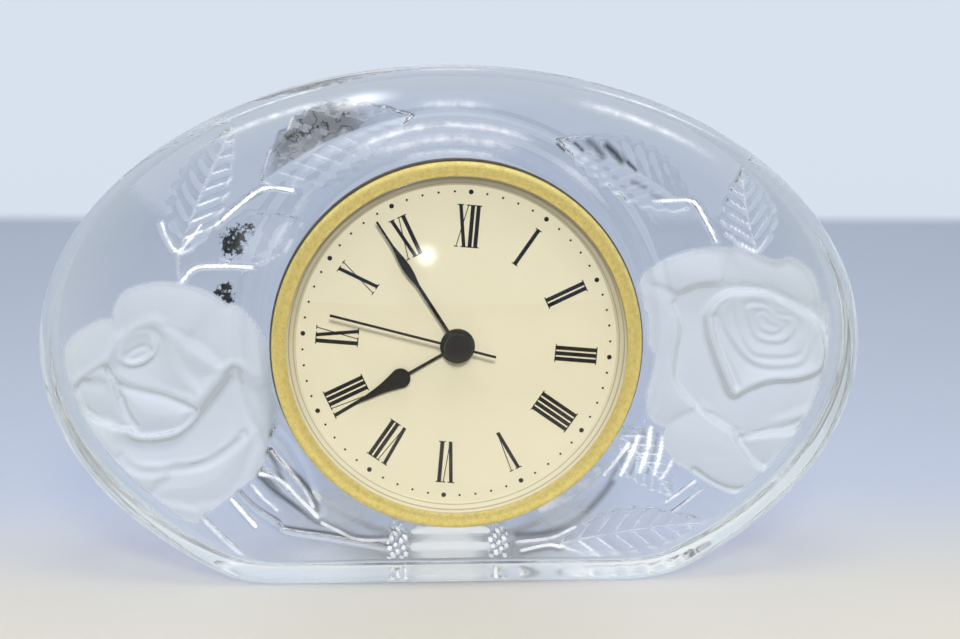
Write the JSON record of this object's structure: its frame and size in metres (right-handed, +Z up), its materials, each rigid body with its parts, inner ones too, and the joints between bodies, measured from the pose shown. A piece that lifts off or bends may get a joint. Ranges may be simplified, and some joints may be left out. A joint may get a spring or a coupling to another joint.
{
  "type": "crystal desk clock",
  "caption": "Oval moulded crystal desk clock with frosted roses and a round gold-rimmed quartz insert.",
  "frame": {"origin": "centre of the crystal's flat base", "axes": "+Z up, +X to the right along the oval's width, the dial faces -Y"},
  "size_m": [0.16, 0.0314, 0.1014],
  "materials": {
    "crystal_glass": "clear moulded crystal, polished front, frosted roses on the back",
    "band_rubber": "ribbed black rubber",
    "case_plastic": "moulded ivory plastic",
    "bezel_gold": "gold coloured plate, polished",
    "lens_clear": "clear mineral glass, polished",
    "dial_cream": "cream, satin lacquer",
    "hands_black": "black, semi-gloss",
    "plate_plastic": "moulded white plastic",
    "gear_brass": "stamped brass",
    "gear_plastic": "moulded natural plastic",
    "steel": "plated steel",
    "magnet": "sintered magnet",
    "copper": "enamelled copper wire",
    "board": "green circuit board",
    "resin": "black resin",
    "battery_can": "plain metal jacket"
  },
  "bodies": {
    "crystal": {"crystal_block": "crystal_glass"},
    "band": {"retaining_band": "band_rubber"},
    "insert": {"insert_case": "case_plastic", "bezel": "bezel_gold", "lens": "lens_clear", "reflector_ring": "bezel_gold", "dial": "dial_cream", "front_plate": "plate_plastic", "middle_plate": "plate_plastic", "rear_plate": "plate_plastic", "movement_screws": "steel", "stator": "steel", "coil_core": "steel", "coil_bobbin": "plate_plastic", "coil_winding": "copper", "circuit_board": "board", "control_chip": "resin", "oscillator_can": "steel", "battery_cradle": "plate_plastic", "battery": "battery_can", "battery_contact_positive": "gear_brass", "battery_contact_negative": "gear_brass", "back_cover": "case_plastic", "case_screws": "steel"},
    "hatch": {"battery_hatch": "case_plastic"},
    "seconds": {"seconds_wheel": "gear_brass", "second_hand": "hands_black"},
    "intermediate": {"intermediate_wheel": "gear_plastic"},
    "rotor": {"rotor": "magnet"},
    "third": {"third_wheel": "gear_brass"},
    "centre": {"centre_wheel": "gear_brass"},
    "minutes": {"minute_arbor": "gear_brass", "minute_hand": "hands_black"},
    "minute_work": {"minute_wheel": "gear_plastic"},
    "hours": {"hour_wheel": "gear_plastic", "hour_hand": "hands_black"},
    "setting": {"setting_knob": "case_plastic"}
  },
  "joints": [
    {"name": "insert_slide", "type": "slide", "parent": "crystal", "child": "band", "axis": [0, -1, 0], "range_m": [0, 0.03]},
    {"name": "insert_turn", "type": "hinge", "parent": "band", "child": "insert", "pos_m": [0, -0.012, 0.048], "axis": [0, 1, 0], "continuous": true},
    {"name": "hatch_slide", "type": "slide", "parent": "insert", "child": "hatch", "axis": [0, 1, 0], "range_m": [0, 0.015]},
    {"name": "seconds_turn", "type": "hinge", "parent": "insert", "child": "seconds", "pos_m": [0, -0.012, 0.048], "axis": [0, 1, 0], "continuous": true},
    {"name": "intermediate_turn", "type": "hinge", "parent": "insert", "child": "intermediate", "pos_m": [0.00751, -0.004, 0.05332], "axis": [0, 1, 0], "continuous": true},
    {"name": "rotor_turn", "type": "hinge", "parent": "insert", "child": "rotor", "pos_m": [0.01187, -0.004, 0.05772], "axis": [0, 1, 0], "continuous": true},
    {"name": "third_turn", "type": "hinge", "parent": "insert", "child": "third", "pos_m": [-0.00385, -0.005, 0.05614], "axis": [0, 1, 0], "continuous": true},
    {"name": "centre_turn", "type": "hinge", "parent": "insert", "child": "centre", "pos_m": [0, -0.007, 0.048], "axis": [0, 1, 0], "continuous": true},
    {"name": "minutes_turn", "type": "hinge", "parent": "insert", "child": "minutes", "pos_m": [0, -0.012, 0.048], "axis": [0, 1, 0], "continuous": true},
    {"name": "minute_wheel_turn", "type": "hinge", "parent": "insert", "child": "minute_work", "pos_m": [-0.00334, -0.009, 0.04073], "axis": [0, 1, 0], "continuous": true},
    {"name": "hours_turn", "type": "hinge", "parent": "insert", "child": "hours", "pos_m": [0, -0.011, 0.048], "axis": [0, 1, 0], "continuous": true},
    {"name": "setting_turn", "type": "hinge", "parent": "insert", "child": "setting", "pos_m": [-0.0095, 0.008, 0.04584], "axis": [0, 1, 0], "continuous": true}
  ],
  "couplings": [
    {"joint": "intermediate_turn", "follows": "seconds_turn", "ratio": -5},
    {"joint": "rotor_turn", "follows": "seconds_turn", "ratio": 30},
    {"joint": "third_turn", "follows": "seconds_turn", "ratio": -0.13333},
    {"joint": "centre_turn", "follows": "seconds_turn", "ratio": 0.016667},
    {"joint": "minute_wheel_turn", "follows": "minutes_turn", "ratio": -0.33333},
    {"joint": "hours_turn", "follows": "minutes_turn", "ratio": 0.083333},
    {"joint": "setting_turn", "follows": "minutes_turn", "ratio": 1}
  ]
}
